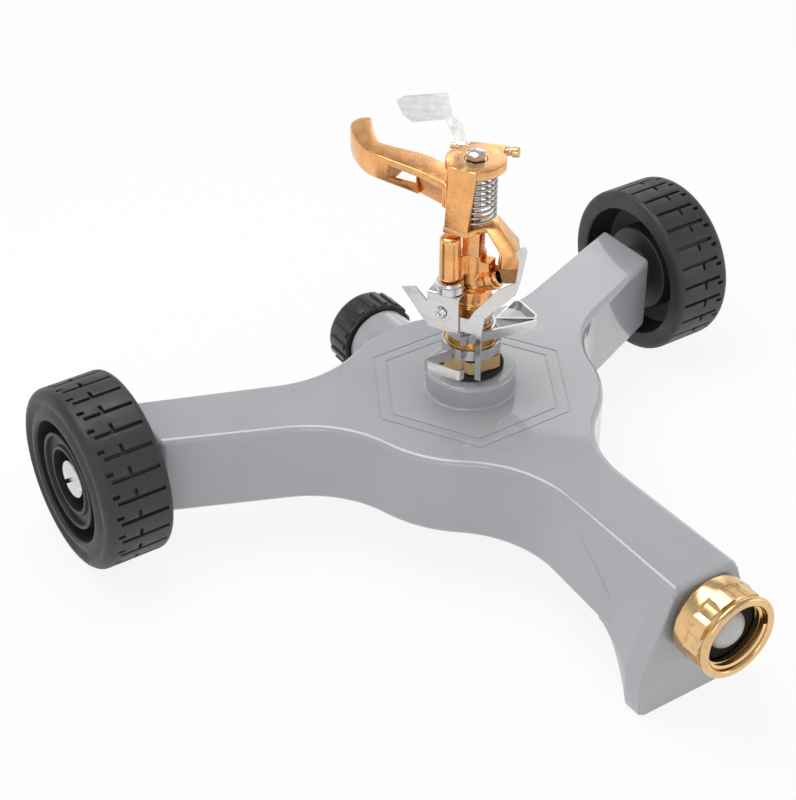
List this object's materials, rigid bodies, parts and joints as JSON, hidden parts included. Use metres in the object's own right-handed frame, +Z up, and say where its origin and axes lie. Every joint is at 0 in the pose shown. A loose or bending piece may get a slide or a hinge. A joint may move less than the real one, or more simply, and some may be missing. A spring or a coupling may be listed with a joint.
{
  "type": "impulse_sprinkler",
  "caption": "Impulse lawn sprinkler: bronze impact head with trip collars on a grey cast sled base with a front foot, brass hose coupling, rear cap and treaded wheels.",
  "frame": {"origin": "on the floor, under the middle of the bounding box's plan", "axes": "+X to the right wheel along the axles, -Y to the front foot and hose coupling, +Z up"},
  "size_m": [0.3094, 0.2526, 0.1729],
  "materials": {
    "grey_paint": "gloss",
    "moulded_black": "satin",
    "rubber": "matte",
    "brass": "polished",
    "bronze": "satin",
    "stainless": "polished",
    "grey_plastic": "satin"
  },
  "bodies": {
    "base": {"base_casting": "grey_paint", "inlet_nipple": "brass", "axle_bolt_left": "stainless", "axle_bolt_right": "stainless", "axle_washer_left": "stainless", "axle_washer_right": "stainless", "wheel_spacer_left": "stainless", "wheel_spacer_right": "stainless", "base_washer": "rubber", "bearing_nut": "brass"},
    "coupling": {"hose_coupling": "brass", "hose_washer": "rubber", "inlet_screen": "grey_plastic"},
    "cap": {"end_cap": "moulded_black", "cap_washer": "rubber"},
    "left_wheel": {"wheel_left": "moulded_black"},
    "right_wheel": {"wheel_right": "moulded_black"},
    "upper_collar": {"trip_collar_upper": "stainless"},
    "lower_collar": {"trip_collar_lower": "stainless"},
    "head": {"head_body": "bronze", "nozzle": "brass", "fulcrum_pin": "stainless", "bearing_sleeve": "brass", "wear_washer": "grey_plastic", "stand_spring": "stainless", "trip_bracket": "stainless", "bracket_nut": "stainless", "bracket_screw": "stainless", "trip_rivet": "stainless", "trip_spring": "stainless"},
    "lever": {"trip_lever": "stainless"},
    "arm": {"impact_arm": "bronze", "arm_bush": "brass", "arm_spring": "stainless", "flap_pin": "stainless", "flap_knob": "brass"},
    "flap": {"deflector_flap": "stainless"}
  },
  "joints": [
    {"name": "wheel_left_spin", "type": "hinge", "parent": "base", "child": "left_wheel", "pos_m": [0, 0.089, 0.0373], "axis": [1, 0, 0], "continuous": true},
    {"name": "wheel_right_spin", "type": "hinge", "parent": "base", "child": "right_wheel", "pos_m": [0, 0.089, 0.0373], "axis": [1, 0, 0], "continuous": true},
    {"name": "coupling_spin", "type": "hinge", "parent": "base", "child": "coupling", "pos_m": [0, -0.1183, 0.0393], "axis": [0, 1, 0], "continuous": true},
    {"name": "cap_off", "type": "slide", "parent": "base", "child": "cap", "axis": [0, 1, 0], "range_m": [0, 0.02]},
    {"name": "head_turn", "type": "hinge", "parent": "base", "child": "head", "pos_m": [0, 0.0354, 0.0893], "axis": [0, 0, 1], "range_deg": [-17, 45]},
    {"name": "upper_collar_turn", "type": "hinge", "parent": "base", "child": "upper_collar", "pos_m": [0, 0.0354, 0.0828], "axis": [0, 0, 1], "range_deg": [0, 60]},
    {"name": "lower_collar_turn", "type": "hinge", "parent": "base", "child": "lower_collar", "pos_m": [0, 0.0354, 0.0758], "axis": [0, 0, 1], "range_deg": [-60, 0]},
    {"name": "arm_swing", "type": "hinge", "parent": "head", "child": "arm", "pos_m": [0, 0.0354, 0.1313], "axis": [0, 0, 1], "range_deg": [0, 100], "stiffness_Nm_per_rad": 0.02},
    {"name": "lever_rock", "type": "hinge", "parent": "head", "child": "lever", "pos_m": [-0.01374, 0.03568, 0.0943], "axis": [-0.8829, -0.4695, 0], "range_deg": [0, 10]},
    {"name": "flap_fold", "type": "hinge", "parent": "arm", "child": "flap", "pos_m": [0.00816, 0.04307, 0.1545], "axis": [0.6845, -0.729, 0], "range_deg": [-15, 65]}
  ]
}
